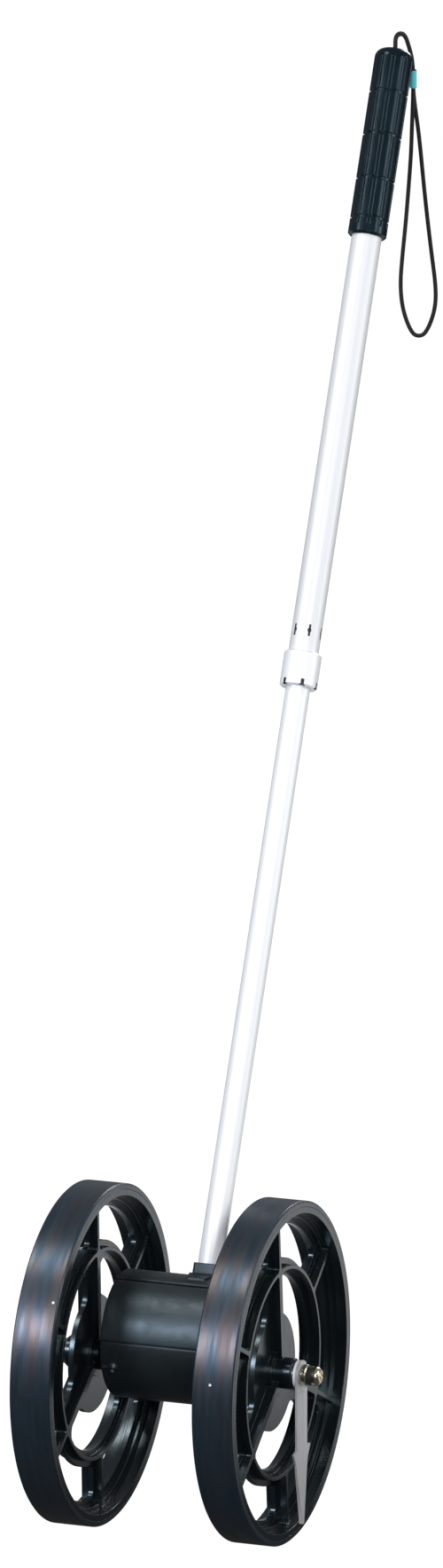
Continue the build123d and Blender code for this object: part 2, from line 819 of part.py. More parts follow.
# Pedestal of the pole: a block on a foot that follows the drum
with BuildPart() as pedestal:
    with BuildSketch(level(drum_rise)):
        with BuildLine():
            Polyline(
                (-foot_half_width, -boss_width / 2),
                (-foot_tip_half_width, -foot_reach),
                (foot_tip_half_width, -foot_reach),
                (foot_half_width, -boss_width / 2),
                (foot_half_width, boss_width / 2),
                (foot_tip_half_width, foot_reach),
                (-foot_tip_half_width, foot_reach),
                (-foot_half_width, boss_width / 2),
                close=True,
            )
        make_face()
    extrude(amount=2 * drum_radius)
    with BuildSketch(section(-drum_half)):
        with Locations((0, drum_rise)):
            Circle(drum_cover + foot_height)
    extrude(amount=drum_length, mode=Mode.INTERSECT)
    with BuildSketch(level(drum_rise)):
        RectangleRounded(boss_width, boss_width, boss_corner)
    extrude(amount=boss_top - drum_rise)
    with BuildSketch(level(boss_top)):
        Circle(lower_tube_inner / 2 - fit)
    extrude(amount=spigot_length)
    pin_plane = section(pole_x, 0, boss_top + spigot_length / 2)
    with BuildSketch(pin_plane):
        Circle(tube_pin_diameter / 2 + fit)
    extrude(amount=lower_tube_outer, both=True, mode=Mode.SUBTRACT)

# Cap of the drum, with the pedestal and the counter's window
with BuildPart() as housing_cap:
    with BuildSketch(section(-drum_half)):
        with Locations((0, drum_rise)):
            Circle(drum_cover)
        with BuildLine():
            Polyline(*sector(cap_half_angle, 2 * drum_radius), close=True)
        make_face(mode=Mode.INTERSECT)
        with Locations((0, drum_rise)):
            Circle(drum_inner + fit, mode=Mode.SUBTRACT)
    extrude(amount=drum_length)
    outer_edges = housing_cap.faces().sort_by(Axis((0, 0, 0), pole_direction))[-1].edges()
    chamfer(outer_edges, cap_edge)
    add(pedestal.part)
    with BuildSketch(section(-drum_half)):
        with Locations((0, drum_rise)):
            Circle(drum_inner + fit)
    extrude(amount=drum_length, mode=Mode.SUBTRACT)
    with BuildSketch(level(window_seat_level, counter_x)):
        Rectangle(window_length + 2 * fit, window_width + 2 * fit)
    extrude(amount=drum_radius, mode=Mode.SUBTRACT)
    with BuildSketch(level(drum_rise, counter_x)):
        Rectangle(window_length - 2 * window_border, window_width - 2 * window_border)
    extrude(amount=2 * drum_radius, mode=Mode.SUBTRACT)
    for x in (-cap_screw_x, cap_screw_x):
        for angle in (-cap_screw_angle, cap_screw_angle):
            bearing = math.radians(angle)
            out = [
                math.sin(bearing) * r + math.cos(bearing) * p for r, p in zip(rear_direction, pole_direction)
            ]
            with BuildSketch(Plane(origin=place(x, 0, drum_rise), x_dir=(1, 0, 0), z_dir=out)):
                Circle(cap_screw_diameter / 2 + fit)
            extrude(amount=drum_inner + cap_screw_bite + fit, mode=Mode.SUBTRACT)
write(housing_cap.part, "housing_cap")

# Screws that hold the cap, in from inside through the ledges
with BuildPart() as cap_screws:
    for x in (-cap_screw_x, cap_screw_x):
        for angle in (-cap_screw_angle, cap_screw_angle):
            bearing = math.radians(angle)
            out = [
                math.sin(bearing) * r + math.cos(bearing) * p for r, p in zip(rear_direction, pole_direction)
            ]
            base = Plane(origin=place(x, 0, drum_rise), x_dir=(1, 0, 0), z_dir=out)
            head_top = math.sqrt((drum_inner - ledge_thickness) ** 2 - (cap_screw_head / 2) ** 2) - fit
            with BuildSketch(base.offset(head_top)):
                Circle(cap_screw_head / 2)
            extrude(amount=-cap_screw_head_height)
            with BuildSketch(base.offset(head_top)):
                Circle(cap_screw_diameter / 2)
            extrude(amount=drum_inner + cap_screw_bite - head_top)
write(cap_screws.part, "cap_screws")

# Window over the number wheels
with BuildPart() as counter_window:
    with BuildSketch(level(window_seat_level, counter_x)):
        Rectangle(window_length, window_width)
    extrude(amount=window_thickness)
write(counter_window.part, "counter_window")

# Lower tube and the pin that holds it on its spigot
spigot_top = boss_top + spigot_length
guide_level = nut_bottom + collet_tip_length + nut_lip + collet_thread_length + collet_spigot_length
lower_tube_top = guide_level
with BuildPart() as lower_tube:
    with BuildSketch(level(boss_top)):
        Circle(lower_tube_outer / 2)
        Circle(lower_tube_inner / 2, mode=Mode.SUBTRACT)
    extrude(amount=lower_tube_top - boss_top)
    with BuildSketch(pin_plane):
        Circle(tube_pin_diameter / 2 + fit)
    extrude(amount=lower_tube_outer, both=True, mode=Mode.SUBTRACT)
write(lower_tube.part, "lower_tube")
with BuildPart() as tube_pin:
    with BuildSketch(pin_plane):
        Circle(tube_pin_diameter / 2)
    extrude(amount=lower_tube_outer / 2, both=True)
write(tube_pin.part, "tube_pin")

# Guide bush on the lower tube's top, which runs inside the upper tube
guide_bush = on_pole(
    (
        (0, guide_level + free_gap - guide_spigot_length),
        (lower_tube_inner / 2 - fit, guide_level + free_gap - guide_spigot_length),
        (lower_tube_inner / 2 - fit, guide_level + free_gap),
        (upper_tube_inner / 2 - fit, guide_level + free_gap),
        (upper_tube_inner / 2 - fit, guide_level + free_gap + guide_bush_length),
        (0, guide_level + free_gap + guide_bush_length),
    )
)
write(guide_bush, "guide_bush")

# Collet: slotted fingers, a thread for the nut and a spigot crimped into the upper tube
collet_bottom = nut_bottom + nut_lip
collet_thread_bottom = collet_bottom + collet_tip_length
upper_tube_bottom = collet_thread_bottom + collet_thread_length
collet_top = upper_tube_bottom + collet_spigot_length
collet_bore = lower_tube_outer / 2 + fit
with BuildPart() as collet:
    add(
        on_pole(
            (
                (collet_bore, collet_bottom),
                (collet_tip_outer / 2, collet_bottom),
                (collet_thread_outer / 2, collet_thread_bottom),
                (collet_thread_outer / 2, upper_tube_bottom),
                (upper_tube_inner / 2 - fit, upper_tube_bottom),
                (upper_tube_inner / 2 - fit, collet_top - free_gap),
                (collet_bore, collet_top - free_gap),
            )
        )
    )
    with BuildSketch(level(collet_bottom)):
        with PolarLocations(0, collet_slots):
            Rectangle(collet_thread_outer, collet_slot_width, align=(Align.MIN, Align.CENTER))
    extrude(amount=collet_slot_length, mode=Mode.SUBTRACT)
write(collet.part, "collet")

# Clamp nut: a cone inside its lower end closes the collet's fingers
nut_bore = upper_tube_outer / 2 + free_gap
with BuildPart() as clamp_nut:
    add(
        on_pole(
            (
                (lower_tube_outer / 2 + free_gap, nut_bottom),
                (nut_outer / 2 - nut_edge, nut_bottom),
                (nut_outer / 2, nut_bottom + nut_edge),
                (nut_outer / 2, nut_top - nut_edge),
                (nut_outer / 2 - nut_edge, nut_top),
                (nut_bore, nut_top),
                (nut_bore, collet_thread_bottom - free_gap),
                (collet_tip_outer / 2 + free_gap, collet_bottom - free_gap),
                (lower_tube_outer / 2 + free_gap, collet_bottom - free_gap),
            )
        )
    )
    with BuildSketch(level(nut_bottom)):
        with PolarLocations(nut_outer / 2, nut_notches):
            Rectangle(2 * nut_notch_depth, nut_notch_width)
    extrude(amount=nut_notch_height, mode=Mode.SUBTRACT)
write(clamp_nut.part, "clamp_nut")

# Upper tube with a ring of crimp dimples
upper_tube_top = grip_top - grip_end_thickness
with BuildPart() as upper_tube:
    with BuildSketch(level(upper_tube_bottom)):
        Circle(upper_tube_outer / 2)
        Circle(upper_tube_inner / 2, mode=Mode.SUBTRACT)
    extrude(amount=upper_tube_top - upper_tube_bottom)
    dimple_plane = level(dimple_level)
    with Locations(dimple_plane):
        with PolarLocations(upper_tube_outer / 2 + dimple_radius - dimple_depth, dimple_count):
            Sphere(dimple_radius, mode=Mode.SUBTRACT)
write(upper_tube.part, "upper_tube")

# Grip: a closed, domed sleeve with lengthwise flutes and ring grooves
grip_bore = upper_tube_outer / 2 + fit
grip_radius = grip_outer / 2
strap_frame = Plane(
    origin=place(pole_x, 0, grip_top),
    x_dir=(math.cos(math.radians(strap_turn)), math.sin(math.radians(strap_turn)), 0),
    z_dir=(0, 0, 1),
)
slot_turn = math.radians(strap_slot_turn)
slot_plane = Plane(
    origin=place(pole_x, 0, grip_top),
    x_dir=(-math.sin(slot_turn), math.cos(slot_turn) * math.cos(lean), -math.cos(slot_turn) * math.sin(lean)),
    z_dir=pole_direction,
)
with BuildPart() as grip:
    with BuildSketch(pole_profile):
        with BuildLine():
            Line((0, upper_tube_top), (0, grip_top))
            Line((0, grip_top), (grip_radius - grip_dome, grip_top))
            RadiusArc((grip_radius - grip_dome, grip_top), (grip_radius, grip_top - grip_dome), grip_dome)
            Line((grip_radius, grip_top - grip_dome), (grip_radius, grip_bottom + grip_mouth))
            Line((grip_radius, grip_bottom + grip_mouth), (grip_radius - grip_mouth, grip_bottom))
            Line((grip_radius - grip_mouth, grip_bottom), (grip_bore, grip_bottom))
            Line((grip_bore, grip_bottom), (grip_bore, upper_tube_top))
            Line((grip_bore, upper_tube_top), (0, upper_tube_top))
        make_face()
    revolve(axis=pole_axis)
    with BuildSketch(level(grip_bottom + grip_flute_margin)):
        with PolarLocations(grip_radius + grip_flute_radius - grip_flute_depth, grip_flutes):
            Circle(grip_flute_radius)
    extrude(amount=grip_top - grip_dome - grip_bottom - grip_flute_margin, mode=Mode.SUBTRACT)
    for ring_share in grip_ring_shares:
        ring_level = grip_bottom + ring_share * (grip_top - grip_bottom)
        with BuildSketch(level(ring_level - grip_ring_width / 2)):
            Circle(grip_radius + overrun)
            Circle(grip_radius - grip_ring_depth, mode=Mode.SUBTRACT)
        extrude(amount=grip_ring_width, mode=Mode.SUBTRACT)
    with BuildSketch(slot_plane):
        SlotOverall(strap_slot_length, strap_slot_width)
    extrude(amount=grip_end_thickness + overrun, both=True, mode=Mode.SUBTRACT)
write(grip.part, "grip")

# Plug in the upper tube's top, with a slot that takes the strap's ends
with BuildPart() as end_plug:
    with BuildSketch(level(upper_tube_top - plug_length)):
        Circle(upper_tube_inner / 2 - fit)
    extrude(amount=plug_length)
    with BuildSketch(slot_plane.offset(-grip_end_thickness)):
        SlotOverall(strap_slot_length, strap_slot_width)
    extrude(amount=-plug_slot_depth, mode=Mode.SUBTRACT)
write(end_plug.part, "end_plug")

# Wrist strap: straight runs joined by arcs as large as the runs allow
strap_route = strap_over_front + strap_loop + strap_over_rear
strap_points = [strap_frame.from_local_coords(Vector(*point)) for point in strap_route]
strap_radii = []
for before, here, after in zip(strap_points, strap_points[1:], strap_points[2:]):
    turn = math.radians((here - before).get_angle(after - here))
    run = min((here - before).length, (after - here).length)
    strap_radii.append(strap_arc_share * run / math.tan(turn / 2))
with BuildPart() as wrist_strap:
    with BuildLine() as strap_path:
        FilletPolyline(*strap_points, radius=strap_radii)
    with BuildSketch(Plane(origin=strap_path.line @ 0, z_dir=strap_path.line % 0)):
        Circle(strap_diameter / 2)
    sweep(path=strap_path.line)
write(wrist_strap.part, "wrist_strap")
strap_length = strap_path.wires()[0].length
strap_volume = math.pi * (strap_diameter / 2) ** 2 * strap_length
print("strap radii", [round(radius, 1) for radius in strap_radii])
print("strap length", round(strap_length, 1), "volume ratio", round(wrist_strap.part.volume / strap_volume, 4))

# Sleeve that holds the strap's two strands together
front_top = strap_points[len(strap_over_front) - 1]
front_bottom = strap_points[len(strap_over_front)]
rear_top = strap_points[-len(strap_over_rear)]
sleeve_down = (front_bottom - front_top).normalized()
sleeve_across = (rear_top - front_top).normalized()
run_start = (front_top + rear_top) / 2
sleeve_start = run_start + sleeve_down * (run_start.Z - strap_frame.origin.Z + sleeve_drop)
sleeve_plane = Plane(origin=sleeve_start, x_dir=sleeve_across, z_dir=sleeve_down)
strand_spread = (rear_top - front_top).length
sleeve_hole_width = strap_diameter + 2 * sleeve_clearance
with BuildPart() as strap_sleeve:
    with BuildSketch(sleeve_plane):
        SlotCenterToCenter(strand_spread, sleeve_hole_width + 2 * sleeve_wall)
        SlotCenterToCenter(strand_spread, sleeve_hole_width, mode=Mode.SUBTRACT)
    extrude(amount=sleeve_length)
write(strap_sleeve.part, "strap_sleeve")

# Gears with involute flanks
def gear_outline(teeth):
    """The points round a gear, with each flank an involute and the teeth thinned for backlash."""
    pitch_radius = gear_module * teeth / 2
    base_radius = pitch_radius * math.cos(math.radians(gear_pressure_angle))
    tip_radius = pitch_radius + gear_module * gear_addendum_share
    root_radius = pitch_radius - gear_module * gear_dedendum_share
    start_radius = max(base_radius, root_radius)

    def roll(radius):
        angle = math.acos(min(1, base_radius / radius))
        return math.tan(angle) - angle

    half_tooth = math.pi / (2 * teeth) - gear_backlash / (4 * pitch_radius)
    flank = [(root_radius, half_tooth + roll(pitch_radius))]
    for step in range(gear_flank_points):
        radius = start_radius + (tip_radius - start_radius) * step / (gear_flank_points - 1)
        flank.append((radius, half_tooth + roll(pitch_radius) - roll(radius)))
    points = []
    for tooth in range(teeth):
        centre = 2 * math.pi * tooth / teeth
        for radius, angle in flank:
            points.append((radius * math.cos(centre - angle), radius * math.sin(centre - angle)))
        for radius, angle in reversed(flank):
            points.append((radius * math.cos(centre + angle), radius * math.sin(centre + angle)))
    return points


for name, teeth, rise, bore in (
    ("drive_gear", drive_teeth, 0, axle_diameter),
    ("idler_gear", idler_teeth, idler_rise, idler_stud_diameter),
    ("counter_gear", drive_teeth, counter_rise, counter_shaft_diameter),
):
    with BuildPart() as gear:
        with BuildSketch(section(gear_start, 0, rise)):
            with BuildLine():
                Polyline(*gear_outline(teeth), close=True)
            make_face()
            Circle(bore / 2 + fit, mode=Mode.SUBTRACT)
        extrude(amount=gear_width)
    write(gear.part, name)

# Counter frame: two side plates that reach the cap, and a bridge in front of the number wheels
frame_half_width = number_wheel_radius + frame_wheel_gap + frame_plate
pinion_distance = number_wheel_radius + pinion_radius + pinion_wheel_gap
pinion_front = pinion_distance * math.sin(math.radians(pinion_angle))
pinion_rise = counter_rise - pinion_distance * math.cos(math.radians(pinion_angle))
with BuildPart() as counter_frame:
    with BuildSketch(section(left_plate), section(right_plate)):
        with Locations((0, drum_rise)):
            Circle(drum_inner - fit)
        with Locations((0, counter_rise - frame_foot_drop)):
            Rectangle(2 * frame_half_width, shell_reach, align=(Align.CENTER, Align.MIN), mode=Mode.INTERSECT)
    extrude(amount=frame_plate)
    with BuildSketch(section(left_plate)):
        with Locations((-frame_half_width, counter_rise - frame_bridge_drop)):
            Rectangle(frame_plate, frame_bridge_drop + frame_bridge_rise, align=(Align.MIN, Align.MIN))
    extrude(amount=right_plate + frame_plate - left_plate)
    with BuildSketch(section(left_plate)):
        with Locations((0, counter_rise)):
            Circle(counter_shaft_diameter / 2 + fit)
        with Locations((-pinion_front, pinion_rise)):
            Circle(pinion_shaft_diameter / 2 + fit)
        with Locations((0, idler_rise)):
            Circle(idler_stud_diameter / 2 + fit)
    extrude(amount=right_plate + frame_plate - left_plate, mode=Mode.SUBTRACT)
write(counter_frame.part, "counter_frame")

# Counter shaft and the stud that the idler turns on
with BuildPart() as counter_shaft:
    with BuildSketch(section(gear_start, 0, counter_rise)):
        Circle(counter_shaft_diameter / 2)
    extrude(amount=right_plate + frame_plate - gear_start)
write(counter_shaft.part, "counter_shaft")
with BuildPart() as idler_stud:
    with BuildSketch(section(gear_start - free_gap, 0, idler_rise)):
        Circle(idler_stud_diameter / 2)
    extrude(amount=left_plate + frame_plate - gear_start + free_gap)
    with BuildSketch(section(gear_start - free_gap, 0, idler_rise)):
        Circle(idler_stud_head / 2)
    extrude(amount=-idler_stud_head_height)
write(idler_stud.part, "idler_stud")

# Number wheels, dished on both sides; the first is the fastest
for number in range(number_wheels):
    start = wheels_start + number * number_wheel_pitch + number_wheel_gap / 2
    width = number_wheel_pitch - number_wheel_gap
    with BuildPart() as number_wheel:
        with BuildSketch(section(start, 0, counter_rise)):
            Circle(number_wheel_radius)
        extrude(amount=width)
        chamfer(number_wheel.edges(), number_wheel_edge)
        with BuildSketch(section(start, 0, counter_rise), section(start + width - number_wheel_dish, 0, counter_rise)):
            Circle(number_wheel_radius - number_wheel_rim)
            Circle(number_wheel_hub, mode=Mode.SUBTRACT)
        extrude(amount=number_wheel_dish, mode=Mode.SUBTRACT)
        with BuildSketch(section(start, 0, counter_rise)):
            Circle(counter_shaft_diameter / 2 + fit)
        extrude(amount=width, mode=Mode.SUBTRACT)
    write(number_wheel.part, f"number_wheel_{number + 1}")

# Transfer pinions on their shaft, one between each pair of number wheels
with BuildPart() as pinion_shaft:
    with BuildSketch(section(left_plate, -pinion_front, pinion_rise)):
        Circle(pinion_shaft_diameter / 2)
    extrude(amount=right_plate + frame_plate - left_plate)
write(pinion_shaft.part, "pinion_shaft")
for number in range(number_wheels - 1):
    start = wheels_start + (number + 1) * number_wheel_pitch - (number_wheel_pitch - pinion_gap) / 2
    with BuildPart() as transfer_pinion:
        with BuildSketch(section(start, -pinion_front, pinion_rise)):
            Circle(pinion_core_radius)
            with PolarLocations(0, pinion_teeth):
                Rectangle(pinion_radius, pinion_tooth_width, align=(Align.MIN, Align.CENTER))
            Circle(pinion_shaft_diameter / 2 + fit, mode=Mode.SUBTRACT)
        extrude(amount=number_wheel_pitch - pinion_gap)
    write(transfer_pinion.part, f"transfer_pinion_{number + 1}")

# Reset button through the upper shell, with a comb that reaches for the number wheels
flange_out = math.sqrt(drum_inner**2 - (reset_level + reset_flange_diameter / 2 - drum_rise) ** 2) - free_gap
reset_flange_in = flange_out - reset_flange_thickness
reset_button_in = reset_flange_in - reset_button_tail
reset_button_out = math.sqrt(drum_radius**2 - (reset_level - drum_rise) ** 2) + reset_button_proud
reset_comb_in = number_wheel_radius + reset_comb_gap
with BuildPart() as reset_button:
    with BuildSketch(reset_plane.offset(reset_button_in)):
        Circle(reset_button_diameter / 2)
    extrude(amount=reset_button_out - reset_button_in)
    fillet(reset_button.edges().group_by(Axis((0, 0, 0), rear_direction))[-1], reset_button_edge)
    with BuildSketch(reset_plane.offset(reset_flange_in)):
        Circle(reset_flange_diameter / 2)
    extrude(amount=reset_flange_thickness)
    with BuildSketch(reset_plane.offset(reset_comb_in + reset_comb_thickness)):
        Circle(reset_stem_diameter / 2)
    extrude(amount=reset_button_in - reset_comb_in - reset_comb_thickness)
write(reset_button.part, "reset_button")
comb_top = counter_rise - reset_level + reset_finger_height / 2
with BuildPart() as reset_comb:
    with BuildSketch(Plane(origin=place(counter_x, reset_comb_in, reset_level), x_dir=(1, 0, 0), z_dir=rear_direction)):
        with Locations((0, reset_comb_foot)):
            Rectangle(
                wheels_length - 2 * wheel_side_gap,
                comb_top + reset_comb_foot,
                align=(Align.CENTER, Align.MAX),
            )
    extrude(amount=reset_comb_thickness)
    with BuildSketch(Plane(origin=place(counter_x, reset_comb_in, counter_rise), x_dir=(1, 0, 0), z_dir=rear_direction)):
        with GridLocations(number_wheel_pitch, 0, number_wheels, 1):
            Rectangle(reset_finger_width, reset_finger_height)
    extrude(amount=-reset_finger_length)
write(reset_comb.part, "reset_comb")
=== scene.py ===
import math
from collections import namedtuple

import bmesh
import bpy
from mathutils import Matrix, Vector


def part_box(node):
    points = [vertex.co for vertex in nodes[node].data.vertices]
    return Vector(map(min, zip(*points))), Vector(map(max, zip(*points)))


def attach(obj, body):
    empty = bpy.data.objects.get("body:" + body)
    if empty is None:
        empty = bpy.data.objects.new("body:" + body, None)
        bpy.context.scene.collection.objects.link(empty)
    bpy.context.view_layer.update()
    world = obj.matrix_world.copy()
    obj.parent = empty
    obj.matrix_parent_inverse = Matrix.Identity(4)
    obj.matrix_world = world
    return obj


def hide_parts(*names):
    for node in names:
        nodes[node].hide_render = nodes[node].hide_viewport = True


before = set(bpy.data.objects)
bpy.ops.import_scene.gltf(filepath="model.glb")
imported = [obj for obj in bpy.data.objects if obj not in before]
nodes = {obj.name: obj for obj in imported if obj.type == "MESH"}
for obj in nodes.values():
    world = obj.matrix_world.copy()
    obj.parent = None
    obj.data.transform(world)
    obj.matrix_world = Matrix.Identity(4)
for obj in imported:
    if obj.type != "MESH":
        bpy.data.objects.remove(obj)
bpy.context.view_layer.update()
scene = bpy.context.scene

# Places that follow the part's own frame, in metres
tread_length = 1.0
wheel_radius = tread_length / (2 * math.pi)
lean = math.radians(25.26)
pole_x = 0.0131
grip_top = 1.26
pole_up = Vector((0, math.sin(lean), math.cos(lean)))
rear = Vector((0, math.cos(lean), -math.sin(lean)))
axle_centre = Vector((0, 0, wheel_radius))
grip_end = Vector((pole_x, 0, wheel_radius)) + pole_up * grip_top


def aim_object(obj, place, target):
    """Puts a camera or a lamp at a place, looking at a target."""
    scene.collection.objects.link(obj)
    obj.location = place
    obj.rotation_euler = (Vector(target) - Vector(place)).to_track_quat("-Z", "Y").to_euler()


# Camera at the photograph's viewing angle
camera_place = (3.4002, -9.0060, 2.9185)
camera_target = (-0.0074, 0.1245, 0.6776)
camera_data = bpy.data.cameras.new("camera")
camera_data.sensor_fit = "VERTICAL"
camera_data.sensor_height = 36
camera_data.lens = 249.6
camera_data.clip_end = 100
camera = bpy.data.objects.new("camera", camera_data)
aim_object(camera, camera_place, camera_target)
scene.camera = camera


# Node helpers
class Nodes:
    """A material's node tree with short ways to add and join nodes."""

    def __init__(self, name):
        self.material = bpy.data.materials.new(name)
        self.material.use_nodes = True
        self.tree = self.material.node_tree
        self.shader = self.tree.nodes["Principled BSDF"]
        self.output = self.tree.nodes["Material Output"]

    def add(self, kind, **values):
        """A new node with its settings."""
        node = self.tree.nodes.new(kind)
        for key, value in values.items():
            setattr(node, key, value)
        return node

    def join(self, source, target):
        """A link from an output to an input."""
        self.tree.links.new(source, target)

    def set(self, **values):
        """Constant values on the shader's own sockets."""
        for key, value in values.items():
            self.shader.inputs[key.replace("_", " ")].default_value = value

    def coordinates(self, scale=(1, 1, 1)):
        """The part's own coordinates in metres, times a scale."""
        place = self.add("ShaderNodeTexCoord")
        mapping = self.add("ShaderNodeMapping")
        mapping.inputs["Scale"].default_value = scale
        self.join(place.outputs["Object"], mapping.inputs["Vector"])
        return mapping.outputs["Vector"]

    def noise(self, vector, scale=1.0, detail=4, rough=0.55):
        """Soft noise from 0 to 1."""
        noise = self.add("ShaderNodeTexNoise")
        noise.inputs["Scale"].default_value = scale
        noise.inputs["Detail"].default_value = detail
        noise.inputs["Roughness"].default_value = rough
        self.join(vector, noise.inputs["Vector"])
        return noise.outputs["Fac"]

    def ramp(self, factor, *stops):
        """Colours at places from 0 to 1."""
        ramp = self.add("ShaderNodeValToRGB")
        elements = ramp.color_ramp.elements
        while len(elements) < len(stops):
            elements.new(0.5)
        for element, (position, color) in zip(elements, stops):
            element.position = position
            element.color = (*color, 1)
        self.join(factor, ramp.inputs["Fac"])
        return ramp.outputs["Color"]

    def span(self, factor, first, last, start=0.3, end=0.7):
        """A value that goes from the first to the last while the factor goes from start to end."""
        span = self.add("ShaderNodeMapRange")
        span.inputs["From Min"].default_value = start
        span.inputs["From Max"].default_value = end
        span.inputs["To Min"].default_value = first
        span.inputs["To Max"].default_value = last
        self.join(factor, span.inputs["Value"])
        return span.outputs["Result"]

    def math(self, operation, first, second=None):
        """One operation on outputs or numbers."""
        node = self.add("ShaderNodeMath", operation=operation)
        for slot, value in zip(node.inputs, (first, second)):
            if isinstance(value, (int, float)):
                slot.default_value = value
            elif value is not None:
                self.join(value, slot)
        return node.outputs["Value"]

    def bump(self, height, strength, distance, edge=0):
        """A fine relief, and edges that look rounded by a radius."""
        bump = self.add("ShaderNodeBump")
        bump.inputs["Strength"].default_value = strength
        bump.inputs["Distance"].default_value = distance
        self.join(height, bump.inputs["Height"])
        if edge:
            bevel = self.add("ShaderNodeBevel", samples=6)
            bevel.inputs["Radius"].default_value = edge
            self.join(bevel.outputs["Normal"], bump.inputs["Normal"])
        self.join(bump.outputs["Normal"], self.shader.inputs["Normal"])


# Materials, whose lengths are in metres
grain_depth = 0.0004
slight_edge = 0.0004
plain_gloss = (1, 1, 1)
cool_gloss = (0.72, 0.92, 1.0)


def moulded(
    name,
    dark,
    light,
    rough,
    grain=900,
    strength=0.06,
    edge=0,
    patch=18,
    metallic=0,
    specular=0.5,
    gloss=plain_gloss,
):
    """A moulded or painted surface: cloudy colour, uneven gloss and a fine grain."""
    m = Nodes(name)
    vector = m.coordinates()
    cloud = m.noise(vector, patch)
    wear = m.noise(vector, patch * 5)
    m.join(m.ramp(cloud, (0.3, dark), (0.75, light)), m.shader.inputs["Base Color"])
    m.join(m.span(wear, *rough), m.shader.inputs["Roughness"])
    m.set(Metallic=metallic, Specular_IOR_Level=specular, Specular_Tint=(*gloss, 1))
    m.bump(m.noise(vector, grain, detail=3), strength, grain_depth, edge)
    return m.material


def tyre_rubber():
    """Satin black rubber with streaks rubbed along the tread, a blue cast and a gloss from blue to rose."""
    m = Nodes("tyre_rubber")
    place = m.add("ShaderNodeTexCoord")
    split = m.add("ShaderNodeSeparateXYZ")
    m.join(place.outputs["Object"], split.inputs["Vector"])
    height = m.math("SUBTRACT", split.outputs["Z"], wheel_radius)
    angle = m.math("ARCTAN2", height, split.outputs["Y"])

    def along_tread(per_metre, per_radian):
        """Coordinates across the tread and round the axle, for noise drawn out along the tread."""
        join = m.add("ShaderNodeCombineXYZ")
        m.join(m.math("MULTIPLY", split.outputs["X"], per_metre), join.inputs["X"])
        m.join(m.math("MULTIPLY", angle, per_radian), join.inputs["Y"])
        return join.outputs["Vector"]

    streak = m.noise(along_tread(per_metre=170.0, per_radian=1.6), detail=5, rough=0.6)
    cast = m.noise(along_tread(per_metre=22.0, per_radian=1.1), detail=3)
    bloom = m.noise(along_tread(per_metre=75.0, per_radian=2.4), detail=2)
    mix = m.add("ShaderNodeMix", data_type="RGBA", blend_type="MULTIPLY")
    mix.inputs["Factor"].default_value = 0.55
    cast_stops = (
        (0.3, (0.014, 0.020, 0.026)),
        (0.5, (0.012, 0.021, 0.029)),
        (0.72, (0.013, 0.024, 0.038)),
    )
    m.join(m.ramp(cast, *cast_stops), mix.inputs["A"])
    m.join(m.ramp(streak, (0.3, (0.55, 0.55, 0.55)), (0.7, (1, 1, 1))), mix.inputs["B"])
    m.join(mix.outputs["Result"], m.shader.inputs["Base Color"])
    m.join(m.span(streak, first=0.27, last=0.4), m.shader.inputs["Roughness"])
    bloom_stops = (
        (0.36, (0.5, 0.74, 1.0)),
        (0.5, (0.84, 0.86, 0.96)),
        (0.62, (1.0, 0.82, 0.78)),
    )
    m.join(m.ramp(bloom, *bloom_stops), m.shader.inputs["Specular Tint"])
    m.set(Specular_IOR_Level=0.72)
    m.bump(streak, strength=0.12, distance=grain_depth, edge=0.0008)
    return m.material


# Recesses that come six times round the pole, from low to high up it and from inner to outer off its axis,
# which painted shade darkens on the tube and nut
Recess = namedtuple("Recess", "low high inner outer narrowness")
recess_count = 6
# Colour of the painted shade in the recesses
painted_recess_shade = (0.02, 0.02, 0.024, 1)


def recess_mask(m, upright, recesses):
    """1 in the recesses, where shade is painted, and 0 elsewhere, from coordinates that stand upright along
    the pole.

    A recess ends where the cosine of six times the turn round the pole falls to its narrowness.
    """
    split = m.add("ShaderNodeSeparateXYZ")
    m.join(upright, split.inputs["Vector"])
    across = m.math("SUBTRACT", split.outputs["X"], pole_x)
    back = m.math("ADD", split.outputs["Y"], wheel_radius * math.sin(lean))
    rise = m.math("SUBTRACT", split.outputs["Z"], wheel_radius * math.cos(lean))
    squares = m.math("ADD", m.math("MULTIPLY", across, across), m.math("MULTIPLY", back, back))
    radius = m.math("SQRT", squares)
    turn = m.math("ARCTAN2", back, across)
    nearness = m.math("COSINE", m.math("MULTIPLY", turn, float(recess_count)))
    # Painted shade: 1 inside any recess
    dark = 0.0
    for recess in recesses:
        mask = m.math("GREATER_THAN", nearness, recess.narrowness)
        for value, least, most in ((rise, recess.low, recess.high), (radius, recess.inner, recess.outer)):
            mask = m.math("MULTIPLY", mask, m.math("GREATER_THAN", value, least))
            mask = m.math("MULTIPLY", mask, m.math("LESS_THAN", value, most))
        dark = m.math("MAXIMUM", dark, mask)
    return dark


